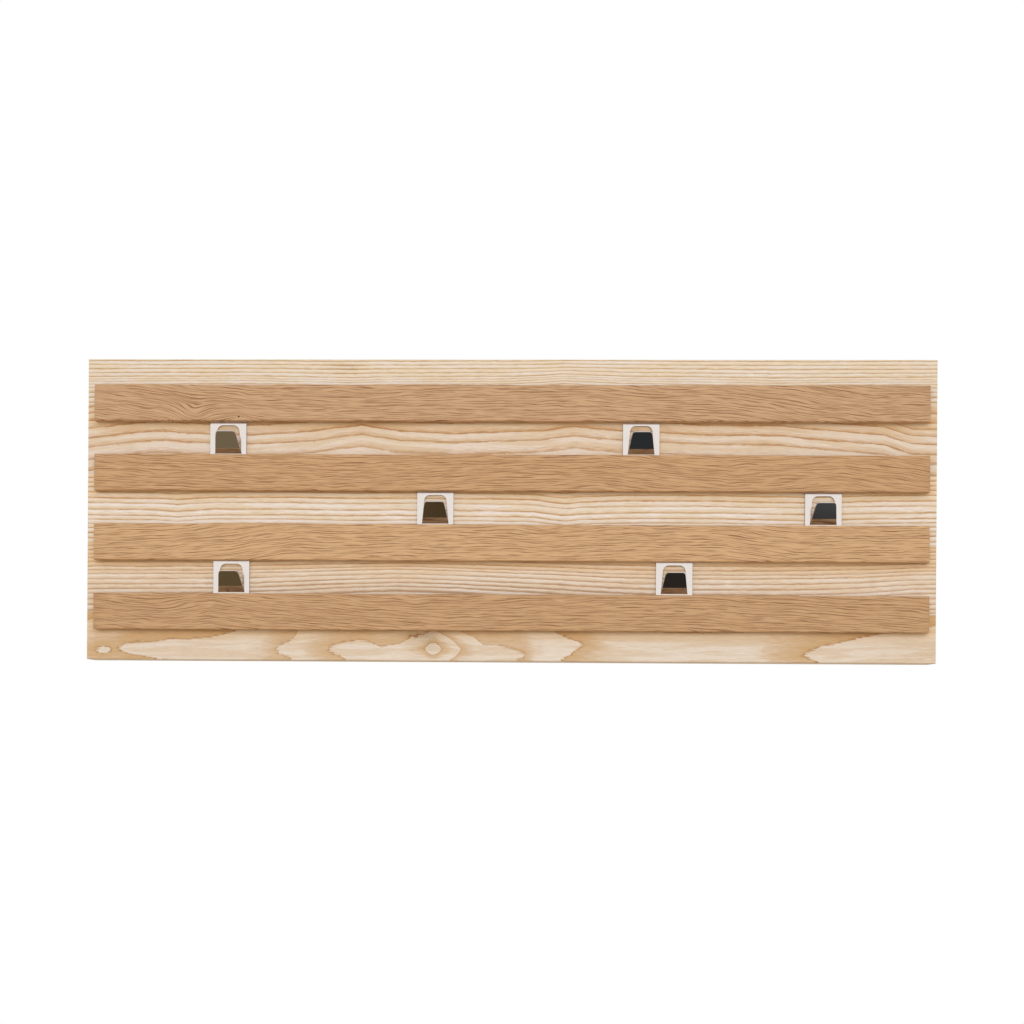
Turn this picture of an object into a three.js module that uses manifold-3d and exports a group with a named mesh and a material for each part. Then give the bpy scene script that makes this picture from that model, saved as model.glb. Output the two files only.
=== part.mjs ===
// A wall coat rack: ash board, oak slats and steel hooks that slide in the tracks behind the slats' edges.
// Millimetres. +X runs to the right along the slats, +Y goes into the wall and +Z is up.
// The origin is the centre of the board's back face, which lies against the wall.

import * as THREE from 'three';
import { mergeVertices } from 'three/addons/utils/BufferGeometryUtils.js';
import Module from 'manifold-3d';

const wasm = await Module();
wasm.setup();

// Ash board, glued up from staves whose joints lie behind the middle of each slat
const boardLength = 720;
const boardThickness = 24;
const topMargin = 23.6;
const bottomMargin = 25.4;
const boardArris = 1;
const glueLine = 0.1;

// Oak slats
const slatCount = 4;
const slatHeight = 30.6;
const slatGap = 28.2;
const slatThickness = 8;
const slatEndInset = 8;
const slatArris = 1;

// Track that the plates run in: a rebate along the back of each slat's long edges
const rebateHeight = 3.6;
const trackFaceGap = 0.25;
const trackSeatGap = 0.3;
const trackHeadGap = 0.6;

// Hook: one steel sheet with a window, whose tongue is bent forward
const sheetThickness = 1.5;
const plateWidth = 30.7;
const plateCorner = 0.6;
const windowFootWidth = 22.6;
const windowHeadWidth = 18;
const windowCorner = 4.5;
const windowHeadDrop = 2.6;
const foldRise = 1;
const foldRadius = 2;
const tongueTilt = THREE.MathUtils.degToRad(37);
const tongueSideKerf = 0.3;
const tongueHeadKerf = 2.8;
const tongueTipWidth = 16;
const tongueCorner = 2.2;

// Where the hooks stand: the clear track between each plate and its own end of the slats, in each gap
const hookPlaces = [
  { row: 'top', left: 97.3, right: 225.7 },
  { row: 'middle', left: 273.8, right: 72.2 },
  { row: 'bottom', left: 100.6, right: 197.2 },
];

// Slat screws, driven from the back through the board
const screwsPerSlat = 4;
const screwEndInset = 30;
const screwStagger = 6;
const slatFrontSkin = 3;
const slatScrew = { shankRadius: 1.75, headRadius: 3.5, rim: 0.3, point: 4, recess: 4 };

// Keyhole hanger plates, let into the back of the second stave from the top
const hangerEndInset = 120;
const hangerHeight = 46;
const hangerWidth = 17;
const hangerThickness = 2.2;
const hangerCorner = 3;
const hangerScrewInset = 5.5;
const keyholeEntryRadius = 4.6;
const keyholeSlotRadius = 2.4;
const keyholeTravel = 10;
const keyholeReliefRoom = 1.2;
const keyholeReliefDepth = 8;
const hangerScrewLength = 14;
const hangerScrew = { shankRadius: 1.5, headRadius: 3, rim: 0.2, point: 3, recess: 3.4 };

// Shared by all screws and let-in pieces
const screwSink = 0.3;
const screwRoom = 0.3;
const recessWidth = 0.9;
const recessDepth = 1.2;
const letInRoom = 0.3;
const cutThrough = 1;

// Facets: pieces in half of each rounded corner, in wood and in the hooks, and sides of each turned shape
const cornerSteps = 2;
const hookCornerSteps = 4;
const turnedSides = 16;

// Worked out from the sizes above
const slatPitch = slatHeight + slatGap;
const boardHeight = topMargin + slatCount * slatHeight + (slatCount - 1) * slatGap + bottomMargin;
const slatLength = boardLength - 2 * slatEndInset;
const rebateDepth = sheetThickness + 2 * trackFaceGap;
const slatTop = (index) => boardHeight / 2 - topMargin - index * slatPitch;
const slatCentre = (index) => slatTop(index) - slatHeight / 2;

const finishes = {
  ash: { color: 0xd9c5a8, roughness: 0.62, metalness: 0 },
  oak: { color: 0xc39b74, roughness: 0.55, metalness: 0 },
  steel: { color: 0xdcd6cf, roughness: 0.28, metalness: 1 },
  zinc: { color: 0xb9bab6, roughness: 0.45, metalness: 1 },
};

// Solids and meshes

function solidOf(geometry) {
  geometry.deleteAttribute('normal');
  geometry.deleteAttribute('uv');
  const merged = mergeVertices(geometry, 1e-4);
  const corners = [];
  for (let i = 0; i < merged.index.count; i += 3) {
    const [a, b, c] = [merged.index.getX(i), merged.index.getX(i + 1), merged.index.getX(i + 2)];
    if (a !== b && b !== c && c !== a) corners.push(a, b, c);
  }
  const vertProperties = new Float32Array(merged.attributes.position.array);
  const triVerts = new Uint32Array(corners);
  return new wasm.Manifold(new wasm.Mesh({ numProp: 3, vertProperties, triVerts }));
}

const rack = new THREE.Group();

function addPiece(name, solid, finish, position) {
  const { vertProperties, triVerts } = solid.getMesh();
  const geometry = new THREE.BufferGeometry();
  geometry.setAttribute('position', new THREE.BufferAttribute(new Float32Array(vertProperties), 3));
  geometry.setIndex(new THREE.BufferAttribute(new Uint32Array(triVerts), 1));
  geometry.computeVertexNormals();
  const material = new THREE.MeshStandardMaterial({ ...finishes[finish], flatShading: true });
  const mesh = new THREE.Mesh(geometry, material);
  mesh.name = name;
  mesh.position.copy(position);
  rack.add(mesh);
}

// Outlines and extrusions

// A closed outline through corners [x, y, radius] in turn, each rounded by its radius, which may be left out.
function roundedOutline(corners, Kind = THREE.Shape) {
  const outline = new Kind();
  corners.forEach(([x, y, radius = 0], index) => {
    const corner = new THREE.Vector2(x, y);
    const neighbour = (step) => {
      const [nx, ny] = corners[(index + step + corners.length) % corners.length];
      return new THREE.Vector2(nx, ny).sub(corner).normalize();
    };
    const back = neighbour(-1);
    const ahead = neighbour(1);
    const halfAngle = Math.acos(back.dot(ahead)) / 2;
    const start = corner.clone().addScaledVector(back, radius / Math.tan(halfAngle));
    if (index === 0) outline.moveTo(start.x, start.y);
    else outline.lineTo(start.x, start.y);
    if (radius === 0) return;
    const inward = back.clone().add(ahead).normalize();
    const centre = corner.clone().addScaledVector(inward, radius / Math.sin(halfAngle));
    const end = corner.clone().addScaledVector(ahead, radius / Math.tan(halfAngle));
    const turnsRight = back.cross(ahead) > 0;
    const [startAngle, endAngle] = [start.sub(centre).angle(), end.sub(centre).angle()];
    outline.absarc(centre.x, centre.y, radius, startAngle, endAngle, turnsRight);
  });
  outline.closePath();
  return outline;
}

function rectangle(x0, x1, y0, y1, radius = 0) {
  return roundedOutline([[x0, y0, radius], [x1, y0, radius], [x1, y1, radius], [x0, y1, radius]]);
}

function extrude(shape, depth, steps = cornerSteps) {
  return new THREE.ExtrudeGeometry(shape, { depth, bevelEnabled: false, curveSegments: steps });
}

// A section drawn as (Y, Z), centred on x = 0.
function alongX(section, length, steps) {
  const toX = new THREE.Matrix4().makeBasis(
    new THREE.Vector3(0, 1, 0), new THREE.Vector3(0, 0, 1), new THREE.Vector3(1, 0, 0));
  return solidOf(extrude(section, length, steps).translate(0, 0, -length / 2).applyMatrix4(toX));
}

// A face drawn as (X, Z), from y = back towards the front by a thickness.
function towardsFront(face, back, thickness, steps) {
  return solidOf(extrude(face, thickness, steps).rotateX(Math.PI / 2).translate(0, back, 0));
}

// A plan drawn as (X, Y), between two heights.
function upwards(plan, z0, z1) {
  return solidOf(extrude(plan, z1 - z0).translate(0, 0, z0));
}

// Screws: the axis is Y, the head's flat is at y = 0 and the point is towards the front

const headHeight = (screw) => screw.rim + screw.headRadius - screw.shankRadius;

function turned(outline) {
  return solidOf(new THREE.LatheGeometry(outline.map(([r, y]) => new THREE.Vector2(r, y)), turnedSides));
}

function screwSolid(screw, length) {
  const body = turned([
    [0, -length],
    [screw.shankRadius, -length + screw.point],
    [screw.shankRadius, -headHeight(screw)],
    [screw.headRadius, -screw.rim],
    [screw.headRadius, 0],
    [0, 0],
  ]);
  const bar = (dx, dz) => solidOf(new THREE.BoxGeometry(dx, 2 * recessDepth, dz));
  return body.subtract(bar(screw.recess, recessWidth)).subtract(bar(recessWidth, screw.recess));
}

// The hole that the screw lies in, with room all round. Its mouth runs past the face that it is sunk in.
function screwHole(screw, length) {
  const slant = screwRoom * Math.SQRT2;
  return turned([
    [0, -length - screwRoom],
    [screw.shankRadius + screwRoom, -length + screw.point - screwRoom],
    [screw.shankRadius + screwRoom, -headHeight(screw) + screwRoom - slant],
    [screw.headRadius + screwRoom, -screw.rim + screwRoom - slant],
    [screw.headRadius + screwRoom, screwSink + cutThrough],
    [0, screwSink + cutThrough],
  ]);
}

// Slat screws stand in a row along each slat, by turns above and below the glue joint behind it,
// so that each slat ties two staves together.
const screwReach = (slatLength - 2 * screwEndInset) / (screwsPerSlat - 1);
const slatScrewLength = boardThickness + slatThickness - slatFrontSkin - screwSink;
const slatScrewPlaces = [];
for (let slat = 0; slat < slatCount; slat += 1) {
  for (let column = 0; column < screwsPerSlat; column += 1) {
    const x = -slatLength / 2 + screwEndInset + column * screwReach;
    const z = slatCentre(slat) + (column % 2 === 0 ? screwStagger : -screwStagger);
    slatScrewPlaces.push({ slat, column, at: new THREE.Vector3(x, -screwSink, z) });
  }
}

function cutScrewHoles(solid, places, screw, length, origin) {
  return places.reduce((left, { at }) => {
    const shift = at.clone().sub(origin);
    return left.subtract(screwHole(screw, length).translate([shift.x, shift.y, shift.z]));
  }, solid);
}

// Hanger plates hang side by side, level with the middle of the gap under the top slat
const hangerZ = slatTop(0) - slatHeight - slatGap / 2;
const hangers = [
  { side: 'left', at: new THREE.Vector3(-boardLength / 2 + hangerEndInset, 0, hangerZ) },
  { side: 'right', at: new THREE.Vector3(boardLength / 2 - hangerEndInset, 0, hangerZ) },
];
const hangerScrewSpacing = hangerHeight - 2 * hangerScrewInset;
const hangerScrewPlaces = hangers.flatMap(({ side, at }) => [
  { side, end: 'top', at: at.clone().add(new THREE.Vector3(0, -screwSink, hangerScrewSpacing / 2)) },
  { side, end: 'bottom', at: at.clone().add(new THREE.Vector3(0, -screwSink, -hangerScrewSpacing / 2)) },
]);

// The keyhole: a round entry below and a slot above it, where the wall screw's neck ends up.
function keyhole() {
  const entryZ = -keyholeTravel / 2;
  const slotZ = keyholeTravel / 2;
  const junction = Math.asin(keyholeSlotRadius / keyholeEntryRadius);
  const outline = new THREE.Path();
  outline.absarc(0, slotZ, keyholeSlotRadius, 0, Math.PI, false);
  outline.absarc(0, entryZ, keyholeEntryRadius, Math.PI / 2 + junction, Math.PI * 2.5 - junction, false);
  outline.closePath();
  return outline;
}

function hangerOutline(room) {
  const x = hangerWidth / 2 + room;
  const z = hangerHeight / 2 + room;
  return rectangle(-x, x, -z, z, hangerCorner + room);
}

function hangerSolid(hanger) {
  const outline = hangerOutline(0);
  outline.holes.push(keyhole());
  const plate = towardsFront(outline, 0, hangerThickness);
  const own = hangerScrewPlaces.filter(({ side }) => side === hanger.side);
  return cutScrewHoles(plate, own, hangerScrew, hangerScrewLength, hanger.at);
}

// What is routed out of the board for one hanger: the plate's bed, and the hollow that the wall screw's head
// moves in.
function hangerPocket() {
  const bed = towardsFront(hangerOutline(letInRoom), cutThrough, hangerThickness + cutThrough);
  const hollowRadius = keyholeEntryRadius + keyholeReliefRoom;
  const hollow = new THREE.Shape();
  hollow.absarc(0, keyholeTravel / 2, hollowRadius, 0, Math.PI, false);
  hollow.absarc(0, -keyholeTravel / 2, hollowRadius, Math.PI, 2 * Math.PI, false);
  hollow.closePath();
  return bed.add(towardsFront(hollow, 0, hangerThickness + keyholeReliefDepth));
}

// Staves, from the top down. Each front face is y = 0 of its own frame, with the wall at y = boardThickness.
const staveNames = ['stave_top', 'stave_upper', 'stave_middle', 'stave_lower', 'stave_bottom'];
const staveOrigin = new THREE.Vector3(0, -boardThickness, 0);

function staveSolid(index) {
  const last = staveNames.length - 1;
  const top = index === 0 ? boardHeight / 2 : slatCentre(index - 1) - glueLine / 2;
  const foot = index === last ? -boardHeight / 2 : slatCentre(index) + glueLine / 2;
  const topArris = index === 0 ? boardArris : 0;
  const footArris = index === last ? boardArris : 0;
  const section = roundedOutline([
    [0, foot, footArris],
    [boardThickness, foot, footArris],
    [boardThickness, top, topArris],
    [0, top, topArris],
  ]);
  const plan = rectangle(-boardLength / 2, boardLength / 2, 0, boardThickness, boardArris);
  const plank = alongX(section, boardLength).intersect(upwards(plan, -boardHeight, boardHeight));
  const drilled = cutScrewHoles(plank, slatScrewPlaces, slatScrew, slatScrewLength, staveOrigin);
  const bored = cutScrewHoles(drilled, hangerScrewPlaces, hangerScrew, hangerScrewLength, staveOrigin);
  return hangers.reduce((left, { at }) => {
    return left.subtract(hangerPocket().translate([at.x, boardThickness, at.z]));
  }, bored);
}

staveNames.forEach((name, index) => addPiece(name, staveSolid(index), 'ash', staveOrigin));

// Slats. A slat's back is y = 0 of its own frame, and its long edges are undercut at the back.
function slatOrigin(index) {
  return new THREE.Vector3(0, -boardThickness, slatCentre(index));
}

function slatSolid(index) {
  const half = slatHeight / 2;
  const land = half - rebateHeight;
  const section = roundedOutline([
    [0, -land],
    [0, land],
    [-rebateDepth, land],
    [-rebateDepth, half],
    [-slatThickness, half, slatArris],
    [-slatThickness, -half, slatArris],
    [-rebateDepth, -half],
    [-rebateDepth, -land],
  ]);
  const plan = roundedOutline([
    [-slatLength / 2, -slatThickness, slatArris],
    [slatLength / 2, -slatThickness, slatArris],
    [slatLength / 2, 0],
    [-slatLength / 2, 0],
  ]);
  const bar = alongX(section, slatLength).intersect(upwards(plan, -slatHeight, slatHeight));
  const own = slatScrewPlaces.filter(({ slat }) => slat === index);
  return cutScrewHoles(bar, own, slatScrew, slatScrewLength, slatOrigin(index));
}

for (let index = 0; index < slatCount; index += 1) {
  addPiece(`slat_${index + 1}`, slatSolid(index), 'oak', slatOrigin(index));
}

// Hook. Its own frame has x = 0 in the middle of the plate, y = 0 at the plate's back and z = 0 level with
// the top of the slat below it.
const plateFoot = trackSeatGap - rebateHeight;
const plateHead = slatGap + rebateHeight - trackHeadGap;
const windowHead = slatGap - windowHeadDrop;

function plateSolid() {
  const plate = rectangle(-plateWidth / 2, plateWidth / 2, plateFoot, plateHead, plateCorner);
  plate.holes.push(roundedOutline([
    [-windowFootWidth / 2, foldRise],
    [windowFootWidth / 2, foldRise],
    [windowHeadWidth / 2, windowHead, windowCorner],
    [-windowHeadWidth / 2, windowHead, windowCorner],
  ], THREE.Path));
  return towardsFront(plate, 0, sheetThickness, hookCornerSteps);
}

// The tongue was cut from the window, so its blank ends short of the window's head. Bent round the fold, it
// is a band of even thickness. A prism square to it, drawn in its own plane, gives it its taper and its
// rounded tip.
function tongueSolid() {
  const blank = windowHead - foldRise - tongueHeadKerf;
  const straight = blank - tongueTilt * (foldRadius + sheetThickness / 2);
  const outer = foldRadius + sheetThickness;
  const centre = new THREE.Vector2(-outer, foldRise);
  const across = new THREE.Vector2(Math.cos(tongueTilt), Math.sin(tongueTilt));
  const along = new THREE.Vector2(-Math.sin(tongueTilt), Math.cos(tongueTilt));
  const tip = (radius) => centre.clone().addScaledVector(across, radius).addScaledVector(along, straight);
  const backTip = tip(outer);
  const frontTip = tip(foldRadius);

  const band = new THREE.Shape();
  band.moveTo(-sheetThickness, plateFoot / 2);
  band.lineTo(0, plateFoot / 2);
  band.absarc(centre.x, centre.y, outer, 0, tongueTilt, false);
  band.lineTo(backTip.x, backTip.y);
  band.lineTo(frontTip.x, frontTip.y);
  band.absarc(centre.x, centre.y, foldRadius, tongueTilt, 0, true);
  band.closePath();

  const rootWidth = windowFootWidth - 2 * tongueSideKerf;
  const foldSet = foldRadius * Math.tan(tongueTilt / 2);
  const reach = straight + foldSet;
  const taper = roundedOutline([
    [-rootWidth / 2, -reach],
    [rootWidth / 2, -reach],
    [rootWidth / 2, 0],
    [tongueTipWidth / 2, reach, tongueCorner],
    [-tongueTipWidth / 2, reach, tongueCorner],
    [-rootWidth / 2, 0],
  ]);
  const prism = towardsFront(taper, reach, 2 * reach, hookCornerSteps)
    .rotate([THREE.MathUtils.radToDeg(tongueTilt), 0, 0])
    .translate([0, -sheetThickness, foldRise + foldSet]);
  return alongX(band, windowFootWidth, hookCornerSteps).intersect(prism);
}

const hookSolid = plateSolid().add(tongueSolid());
const trackEnd = slatLength / 2;

hookPlaces.forEach(({ row, left, right }, index) => {
  const y = -boardThickness - trackFaceGap;
  const z = slatTop(index + 1);
  const leftX = -trackEnd + left + plateWidth / 2;
  const rightX = trackEnd - right - plateWidth / 2;
  addPiece(`hook_${row}_left`, hookSolid, 'steel', new THREE.Vector3(leftX, y, z));
  addPiece(`hook_${row}_right`, hookSolid, 'steel', new THREE.Vector3(rightX, y, z));
});

// Fasteners and hangers
slatScrewPlaces.forEach(({ slat, column, at }) => {
  addPiece(`slat_screw_${slat + 1}_${column + 1}`, screwSolid(slatScrew, slatScrewLength), 'zinc', at);
});

hangers.forEach((hanger) => addPiece(`hanger_${hanger.side}`, hangerSolid(hanger), 'zinc', hanger.at));

hangerScrewPlaces.forEach(({ side, end, at }) => {
  addPiece(`hanger_screw_${side}_${end}`, screwSolid(hangerScrew, hangerScrewLength), 'zinc', at);
});

export default rack;
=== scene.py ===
# %% [markdown]
# # A wall coat rack, dressed for its portrait
# The rack is a pale ash board with four oak slats along it, and six steel hooks that slide between them. The
# measured model arrives from the frame as plain solids, each in its right place. This notebook keeps those
# solids, gives every one a finish, and makes the hooks again with the fine edges that sheet steel has.

# %% Load the measured rack
import math

import bmesh
import bpy
from mathutils import Matrix, Vector


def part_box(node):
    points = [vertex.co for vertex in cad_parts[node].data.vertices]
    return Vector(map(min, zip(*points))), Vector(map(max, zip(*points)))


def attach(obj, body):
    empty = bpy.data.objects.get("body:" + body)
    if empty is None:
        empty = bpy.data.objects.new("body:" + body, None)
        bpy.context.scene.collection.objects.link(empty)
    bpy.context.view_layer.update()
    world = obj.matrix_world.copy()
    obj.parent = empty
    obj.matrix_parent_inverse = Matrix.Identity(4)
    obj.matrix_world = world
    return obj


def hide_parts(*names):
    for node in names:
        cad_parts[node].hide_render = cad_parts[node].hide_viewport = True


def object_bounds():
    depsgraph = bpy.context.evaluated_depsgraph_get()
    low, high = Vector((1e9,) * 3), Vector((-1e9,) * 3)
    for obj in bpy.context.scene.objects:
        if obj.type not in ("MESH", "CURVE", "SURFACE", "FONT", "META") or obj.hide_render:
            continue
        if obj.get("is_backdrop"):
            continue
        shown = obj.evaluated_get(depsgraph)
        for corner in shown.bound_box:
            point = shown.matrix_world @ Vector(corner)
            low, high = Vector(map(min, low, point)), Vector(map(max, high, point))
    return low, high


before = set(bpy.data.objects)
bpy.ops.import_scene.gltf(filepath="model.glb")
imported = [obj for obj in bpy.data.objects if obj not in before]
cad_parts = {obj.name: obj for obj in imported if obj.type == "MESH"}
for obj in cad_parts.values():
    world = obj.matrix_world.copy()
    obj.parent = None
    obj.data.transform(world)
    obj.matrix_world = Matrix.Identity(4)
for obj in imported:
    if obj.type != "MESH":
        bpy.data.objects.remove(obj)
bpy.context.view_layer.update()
MM = 0.001

# %% [markdown]
# ## The camera
# The photographer stood straight in front and a little below, and held the camera level: the rack's sides
# stay parallel, and the underside of every slat shows as a thin band. A camera that is tilted up would lean
# the sides together. A level camera whose lens is shifted up keeps them parallel, as a view camera does.

# %% Set the camera
IMAGE_SIZE = 1024
SENSOR_WIDTH = 36.0
focal_pixels = 1298.15
horizon_pixel = 723.0
camera_place = Vector((25.08, -1124.0, -180.26)) * MM
camera_yaw = 0.0198
camera_roll = 0.0065

camera_data = bpy.data.cameras.new("photo_camera")
camera_data.sensor_width = SENSOR_WIDTH
camera_data.lens = focal_pixels / IMAGE_SIZE * SENSOR_WIDTH
camera_data.shift_y = (horizon_pixel - IMAGE_SIZE / 2) / IMAGE_SIZE
camera = bpy.data.objects.new("photo_camera", camera_data)
camera.matrix_world = (
    Matrix.Translation(camera_place)
    @ Matrix.Rotation(camera_yaw, 4, "Z")
    @ Matrix.Rotation(math.pi / 2, 4, "X")
    @ Matrix.Rotation(camera_roll, 4, "Z")
)
bpy.context.scene.collection.objects.link(camera)
bpy.context.scene.camera = camera
bpy.context.scene.view_settings.view_transform = "Standard"

print("lens in mm:", round(camera_data.lens, 2), " shift:", round(camera_data.shift_y, 3))

# %% [markdown]
# ## Nodes written as sums
# A pattern in a material is a sum over sockets. Wired by hand it turns into a web of Math nodes. Here one
# small class, Wire, stands for a socket and knows the four rules of arithmetic, so a pattern reads as a line
# of Python.

# %% Wires
class Wire:
    """A socket that adds, subtracts, multiplies and divides like a number."""

    def __init__(self, paint, socket):
        self.paint = paint
        self.socket = socket

    def __add__(self, other):
        return self.paint.sum("ADD", self, other)

    def __sub__(self, other):
        return self.paint.sum("SUBTRACT", self, other)

    def __mul__(self, other):
        return self.paint.sum("MULTIPLY", self, other)

    def __truediv__(self, other):
        return self.paint.sum("DIVIDE", self, other)

    def __rsub__(self, other):
        return self.paint.sum("SUBTRACT", other, self)

    __radd__ = __add__
    __rmul__ = __mul__


print("Wire:", Wire.__doc__)

# %% [markdown]
# A second class, Paint, adds the nodes. Its method add takes a node's settings first and then its sockets.
# The other methods are the kinds of node that the finishes need often, such as noise, a soft step, a curve,
# a mix of two colours and a relief. Noise is given the size of its lumps in millimetres, so a measure taken
# from the photograph can be written down as it is.

# %% Paint
def draw_curve(node, points):
    """Straight runs between points whose two values lie between 0 and 1."""
    curve = node.mapping.curves[0]
    for _ in points[2:]:
        curve.points.new(0, 0)
    for point, place in zip(curve.points, points):
        point.location = place
        point.handle_type = "VECTOR"
    node.mapping.update()


class Paint:
    """Adds nodes to one material or world, and joins them up."""

    def __init__(self, tree):
        self.tree = tree
        self.tree.nodes.clear()

    def add(self, kind, settings=None, sockets=None, output=0):
        """A node of that kind: its settings first, then its sockets' values or wires."""
        node = self.tree.nodes.new(kind)
        for name, value in (settings or {}).items():
            if name == "points":
                draw_curve(node, value)
            else:
                setattr(node, name, value)
        for name, value in (sockets or {}).items():
            if isinstance(value, Wire):
                self.tree.links.new(value.socket, node.inputs[name])
            else:
                node.inputs[name].default_value = value
        return Wire(self, node.outputs[output]) if node.outputs else None

    def sum(self, operation, left, right=0.0):
        return self.add("ShaderNodeMath", {"operation": operation}, {0: left, 1: right})

    def curve(self, value, points):
        """Straight runs through the points, which are pairs of (value in, value out)."""
        ins, outs = zip(*sorted(points))
        in_span = ins[-1] - ins[0]
        out_low, out_span = min(outs), max(outs) - min(outs)
        unit_points = [((x - ins[0]) / in_span, (y - out_low) / out_span) for x, y in zip(ins, outs)]
        place = (value - ins[0]) / in_span
        share = self.add("ShaderNodeFloatCurve", {"points": unit_points}, {"Value": place})
        return share * out_span + out_low

    def step(self, value, start, end):
        """Rises softly from 0 at start to 1 at end. Start may be the larger."""
        return self.add(
            "ShaderNodeMapRange",
            {"interpolation_type": "SMOOTHSTEP"},
            {"Value": value, "From Min": start, "From Max": end},
        )

    def split(self, vector):
        """The three parts of a vector."""
        node = self.tree.nodes.new("ShaderNodeSeparateXYZ")
        self.tree.links.new(vector.socket, node.inputs["Vector"])
        return [Wire(self, node.outputs[axis]) for axis in "XYZ"]

    def millimetres(self):
        """The three Object coordinates, in millimetres."""
        return [part / MM for part in self.split(self.add("ShaderNodeTexCoord", output="Object"))]

    def noise(self, place, size, detail=2.0):
        """Soft noise from 0 to 1, in lumps of that size along x, y and z."""
        x, y, z = [part / length for part, length in zip(place, size)]
        lumps = self.add("ShaderNodeCombineXYZ", {}, {"X": x, "Y": y, "Z": z})
        return self.add("ShaderNodeTexNoise", {}, {"Vector": lumps, "Scale": 1.0, "Detail": detail})

    def drift(self, place, size, reach, detail=2.0):
        """Soft noise that strays by up to reach to both sides of nothing."""
        return (self.noise(place, size, detail) - 0.5) * (2 * reach)

    def chance(self, number):
        """A value from 0 to 1 that is another one for each number."""
        return self.add("ShaderNodeTexWhiteNoise", {"noise_dimensions": "1D"}, {"W": number})

    def mix(self, share, first, second):
        """The first colour where share is 0, the second where it is 1."""
        return self.add("ShaderNodeMix", {"data_type": "RGBA"}, {0: share, 6: first, 7: second}, output=2)

    def multiply(self, first, second):
        """One colour seen through the other."""
        settings = {"data_type": "RGBA", "blend_type": "MULTIPLY"}
        return self.add("ShaderNodeMix", settings, {0: 1.0, 6: first, 7: second}, output=2)

    def tint(self, colour, amount):
        """The colour made lighter or darker by amount, 1 being no change."""
        grey = self.add("ShaderNodeCombineColor", {}, {"Red": amount, "Green": amount, "Blue": amount})
        return self.multiply(colour, grey)

    def bump(self, height, strength, depth):
        """A relief in the surface, with its depth in millimetres."""
        sockets = {"Height": height, "Strength": strength, "Distance": depth * MM}
        return self.add("ShaderNodeBump", {}, sockets)

    def glow(self, colour):
        return self.add("ShaderNodeEmission", {}, {"Color": colour, "Strength": 1.0})

    def surface(self, shader):
        self.add("ShaderNodeOutputMaterial", {}, {"Surface": shader})

    def principled(self, sockets):
        self.surface(self.add("ShaderNodeBsdfPrincipled", {}, sockets))


print("Paint:", Paint.__doc__)

# %% [markdown]
# Two helpers serve all the finishes. One adds up marks such as fibres and pores, each times its weight, so a
# finish can be read as a table. The other takes a colour as the photograph has it, from 0 to 255, and turns
# it into the linear light that a shader works in. Without that step every colour would come out too pale.

# %% Weights and colours
def weighted(marks, weights):
    """Each mark times its weight, all added to the weight called always."""
    parts = [marks[name] * weight for name, weight in weights.items() if name != "always"]
    return sum(parts, weights["always"])


def srgb(red, green, blue):
    """A colour written from 0 to 255, as the linear light that a shader works in."""
    def linear(level):
        share = level / 255
        return share / 12.92 if share <= 0.04045 else ((share + 0.055) / 1.055) ** 2.4

    return (linear(red), linear(green), linear(blue), 1.0)


print("pale ash in linear light:", [round(part, 3) for part in srgb(226, 205, 182)[:3]])

# %% [markdown]
# ## The studio
# The rack is photographed on white, in soft light from above and in front. The world is that white: rays
# from the lens and reflections see plain white, while the light it gives falls off from top to bottom. What
# comes from below is warm, as it is over a wooden floor, and that keeps the shadows under the slats brown
# and not grey. One wide lamp in front, a little above the rack, adds the soft shadow below each slat.

# %% Light the studio
WHITE = (1.0, 1.0, 1.0, 1.0)
front_light = 0.6
upward_light = 0.16
light_above = (0.95, 1.0, 1.06, 1.0)
light_below = (1.16, 0.96, 0.70, 1.0)
horizon_blend = (-0.35, 0.35)
white_rays = ("Is Camera Ray", "Is Glossy Ray", "Is Transmission Ray")
key_power = 14.0
key_colour = (0.98, 1.0, 1.04)
key_place = Vector((0.0, -1.8, 0.45))
key_size = (1.8, 0.9)

world = bpy.data.worlds.new("studio")
bpy.context.scene.world = world
world.use_nodes = True


def light_world(tree):
    paint = Paint(tree)
    _, _, height = paint.split(paint.add("ShaderNodeTexCoord", output="Generated"))
    colour = paint.mix(paint.step(height, *horizon_blend), light_below, light_above)
    strength = height * upward_light + front_light
    light = paint.add("ShaderNodeBackground", {}, {"Color": colour, "Strength": strength})
    white = paint.add("ShaderNodeBackground", {}, {"Color": WHITE, "Strength": 1.0})
    seen = sum(paint.add("ShaderNodeLightPath", output=ray) for ray in white_rays)
    chosen = paint.add("ShaderNodeMixShader", {}, {0: seen, 1: light, 2: white})
    paint.add("ShaderNodeOutputWorld", {}, {"Surface": chosen})


light_world(world.node_tree)

key_data = bpy.data.lights.new("front_panel", "AREA")
key_data.shape = "RECTANGLE"
key_data.size, key_data.size_y = key_size
key_data.energy = key_power
key_data.color = key_colour
key = bpy.data.objects.new("front_panel", key_data)
key.location = key_place
key.rotation_euler = (-key_place).to_track_quat("-Z", "Y").to_euler()
key.visible_glossy = False
bpy.context.scene.collection.objects.link(key)
print("lamp in watts:", key_power, " world in front:", front_light)

# %% [markdown]
# The floor is far below, as under any rack on a wall, and takes its soft shadow. It fades to white at its
# rim for the lens alone, so no edge shows. Diffuse rays pass it by, so the rack is lit as if only the white
# room were there. It would be simpler to leave the floor out, but then nothing would catch the shadow.

# %% Lay the floor
floor_height = -1.3
floor_radius = 2.5
floor_colour = srgb(238, 238, 238)
floor_sides = 96
fade_start, fade_end = 0.4 * floor_radius, 0.95 * floor_radius


def new_object(name, bm):
    """Turns a finished bmesh into an object at the origin."""
    mesh = bpy.data.meshes.new(name)
    bm.to_mesh(mesh)
    bm.free()
    piece = bpy.data.objects.new(name, mesh)
    bpy.context.scene.collection.objects.link(piece)
    return piece


def new_material(name):
    material = bpy.data.materials.new(name)
    material.use_nodes = True
    return material, Paint(material.node_tree)


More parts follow.
